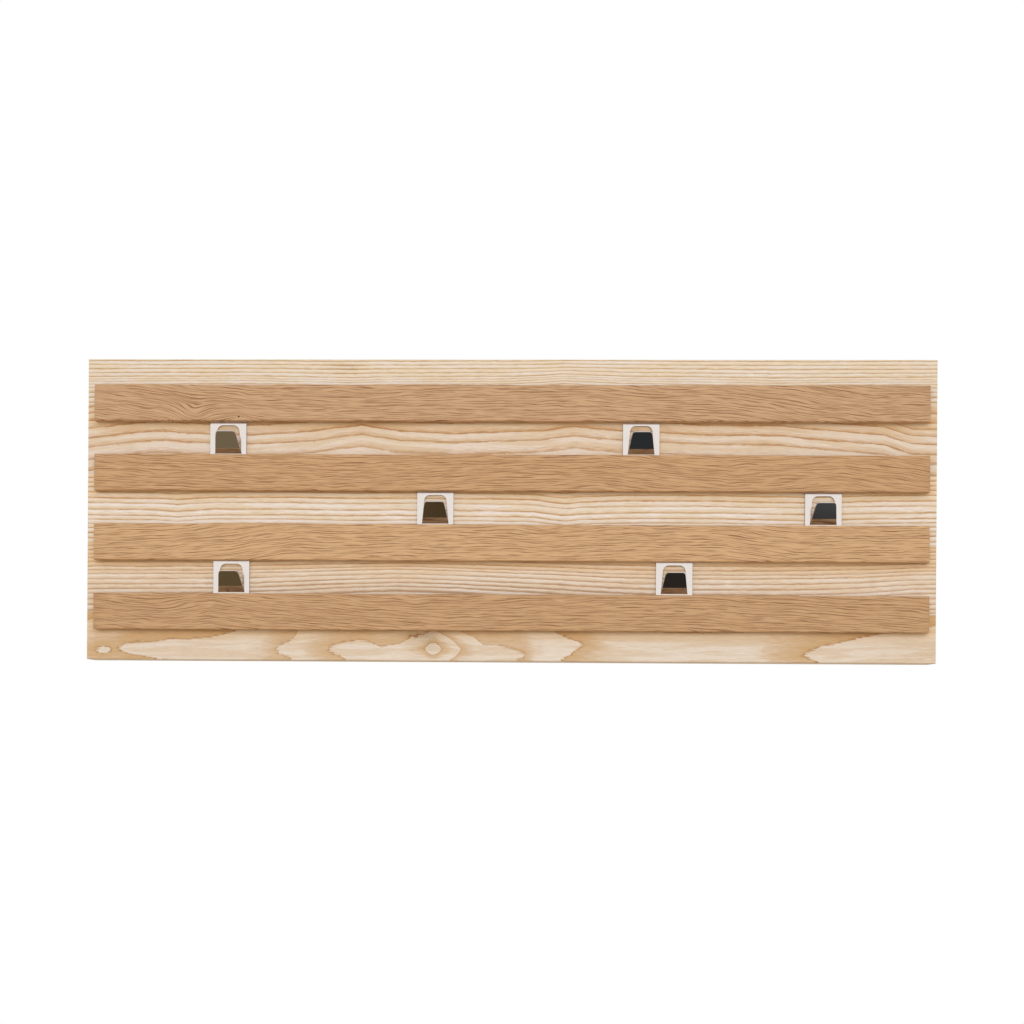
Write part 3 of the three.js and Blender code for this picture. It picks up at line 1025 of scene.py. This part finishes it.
# %% The flow of each slat
slat_flows = {
    "slat_1": [(-360, 0), (-222, -16), (-200, -17), (75, -17), (185, -24), (304, -38), (360, -39)],
    "slat_2": [
        (-360, 0), (-180, -8), (-60, -7), (0, -4), (75, -3), (130, -8), (185, -12), (279, -8), (360, -18),
    ],
    "slat_3": [
        (-360, 0), (-290, 3), (-180, 14), (0, 16), (30, 15), (110, 19), (180, 17), (240, 10), (360, 13),
    ],
    "slat_4": [
        (-360, 0), (-295, -5), (-252, -1), (-180, -8), (-80, -15), (0, -14), (140, -12), (360, -22),
    ],
}
for name, flow in slat_flows.items():
    print(name, "leans by mm:", flow[-1][1])

# %% [markdown]
# The top slat has the one flaw of the set: beside a pin knot its grain dives to the lower edge and comes up
# again. Such a swirl is a hill and a hollow added to the flow, which push the lines round them, and the knot
# is a dark dot. A hollow is a hill whose height is below 0.

# %% The swirl round the pin knot
swirls = [(-268, 76, 15, 14, 9.0), (-229, 74, 11, 7, -4.0)]
knot_x, knot_z = -229.2, 77.1
knot_radius = 1.3
knot_flatness = 1.4
knot_core = 0.4
knot_brown = srgb(60, 36, 20)


def pin_knot(paint, x, z):
    """1 in the middle of the knot and 0 outside it."""
    across = x - knot_x
    up = (z - knot_z) * knot_flatness
    distance = paint.sum("SQRT", across * across + up * up)
    return paint.step(distance, knot_radius, knot_radius * knot_core)


print("pin knot in mm:", 2 * knot_radius, "wide")

# %% [markdown]
# The pores lie in rows along the flow. The flow divided by the rows' spacing, with a slow sway, counts the
# rows, and each one gets its own place and its own pieces by chance. Noise stretched along the grain and
# cut off at a level is simpler, but its marks come out as blots of all sizes, while the rows keep every
# dash fine.

# %% Rows of pores
coarse_rows = {"spacing": 2.4, "length": 25.0}
fine_rows = {"spacing": 1.5, "length": 17.0}
row_sway_size, row_sway = (70.0, 4.0, 12.0), 3.0
wobble_size, wobble_reach = (16.0, 4.0, 1.0), 0.3
piece_depth = 4.0
wobble_jump, piece_jump = 3.7, 5.3
row_chance = 0.4
dash_side = (0.2, 0.08)
dash_end = (0.36, 0.6)


def pore_rows(paint, x, depth, flow, rows):
    """Rows of long pores that follow the flow, each row broken into dashes."""
    row = flow / rows["spacing"] + paint.noise((x, depth, flow), row_sway_size) * row_sway
    number = paint.sum("FLOOR", row)
    own_place = (paint.chance(number) - 0.5) * row_chance
    wobble = paint.drift((x, depth, number * wobble_jump), wobble_size, wobble_reach, detail=1.0)
    off_row = paint.sum("ABSOLUTE", row - number - 0.5 + own_place + wobble)
    piece_size = (rows["length"], piece_depth, 1.0)
    pieces = paint.noise((x, depth, number * piece_jump), piece_size, detail=1.0)
    return paint.step(off_row, *dash_side) * paint.step(pieces, *dash_end)


print("rows of pores every mm:", coarse_rows["spacing"], "and", fine_rows["spacing"])

# %% [markdown]
# Two sets of rows, a coarse and a fine one, make the dashes, and a short noise makes each dash darker in
# some places than in others. Slow streaks add a little dark where they are strong and a pale gleam where
# they are weak. Every slat takes its noise from another depth, so no two of them are alike, and has its own
# base colour, as four planks would.

# %% Marks and looks of the oak
slat_shades = {
    "slat_1": srgb(203, 163, 123),
    "slat_2": srgb(203, 160, 115),
    "slat_3": srgb(214, 172, 127),
    "slat_4": srgb(202, 160, 116),
}
oak_dark = srgb(137, 91, 54)
oak_light = srgb(220, 182, 142)
plank_shift = 7.0
sway_size, sway_height = (45.0, 12.0, 12.0), 5.0
depth_lean = 0.3
fine_row_shift = (9.0, 40.0)
oak_pore_size = (2.5, 1.5, 0.5)
streak_size = (16.0, 3.0, 0.9)
oak_fibre_size = (14.0, 0.6, 0.5)
dash_weights = {"always": 0.0, "coarse": 0.56, "fine": 0.64}
pore_weights = {"always": 0.6, "pores": 1.0}
streak_edge, streak_weight = (0.56, 0.74), 0.15
gleam_edge, gleam_weight = (0.5, 0.34), 0.3
oak_shade = {"always": 0.84, "fibres": 0.22, "pores": 0.1}
oak_roughness = {"always": 0.48, "fibres": 0.12}
oak_height = {"always": 0.0, "fibres": 0.4, "dashes": -1.0}
oak_relief = {"strength": 0.15, "depth": 0.15}
print("planks of oak:", len(slat_shades))

# %% [markdown]
# The flow at a point is its height above the slat's curve, with a slow sway added, and it leans a little
# into the depth of the wood. From there the finish goes as for the ash: first the marks, then the colours
# laid over each other, and then shade, roughness and relief as sums of the marks.

# %% Oak
def oak_flow(paint, name, x, y, z, shift):
    """The height of a point measured along its slat's bent grain."""
    sway = paint.noise((x, y + shift * sway_size[1], z), sway_size) * sway_height
    flow = z - paint.curve(x, slat_flows[name]) + sway + y * depth_lean
    if name == "slat_1":
        flow = flow + sum(hill(paint, x, z, swirl) for swirl in swirls)
    return flow


def oak_finish(name, base, shift):
    material, paint = new_material("oak_" + name)
    x, y, z = paint.millimetres()
    flow = oak_flow(paint, name, x, y, z, shift)
    depth = y + shift * piece_depth
    depth_jump, flow_jump = fine_row_shift
    marks = {
        "coarse": pore_rows(paint, x, depth, flow, coarse_rows),
        "fine": pore_rows(paint, x, depth + depth_jump, flow + flow_jump, fine_rows),
        "pores": paint.noise((x, y, flow), oak_pore_size),
        "fibres": paint.noise((x, y, flow), oak_fibre_size),
    }
    streaks = paint.noise((x, depth, flow), streak_size, detail=1.0)
    dashes = weighted(marks, dash_weights) * weighted(marks, pore_weights)
    marks["dashes"] = dashes + paint.step(streaks, *streak_edge) * streak_weight
    colour = paint.mix(paint.step(streaks, *gleam_edge) * gleam_weight, base, oak_light)
    colour = paint.mix(marks["dashes"], colour, oak_dark)
    if name == "slat_1":
        colour = paint.mix(pin_knot(paint, x, z), colour, knot_brown)
    paint.principled({
        "Base Color": paint.tint(colour, weighted(marks, oak_shade)),
        "Roughness": weighted(marks, oak_roughness),
        "Normal": paint.bump(weighted(marks, oak_height), **oak_relief),
    })
    return material


slat_finishes = {
    name: oak_finish(name, base, plank_shift * index)
    for index, (name, base) in enumerate(slat_shades.items())
}
print("slat finishes:", len(slat_finishes))

# %% [markdown]
# ## Give every solid its finish
# The boards, slats, screws and hangers keep the measured solids. Only their material slots change: each
# stave and slat gets its own plank of wood, and all the small metal parts the same zinc.

# %% Dress the measured solids
def finish_for(name):
    if name in stave_finishes:
        return stave_finishes[name]
    if name in slat_finishes:
        return slat_finishes[name]
    if name in hook_names:
        return steel
    return zinc


for name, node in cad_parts.items():
    for material_slot in node.material_slots:
        material_slot.material = finish_for(name)
print("solids dressed:", len(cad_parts))

# %% [markdown]
# ## Measure the dressed rack
# The dressed rack has to keep the measured rack's size, so its size is printed.

# %% Print the dressed rack's size
low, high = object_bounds()
print("visual size in mm:", [round(side / MM, 2) for side in high - low])
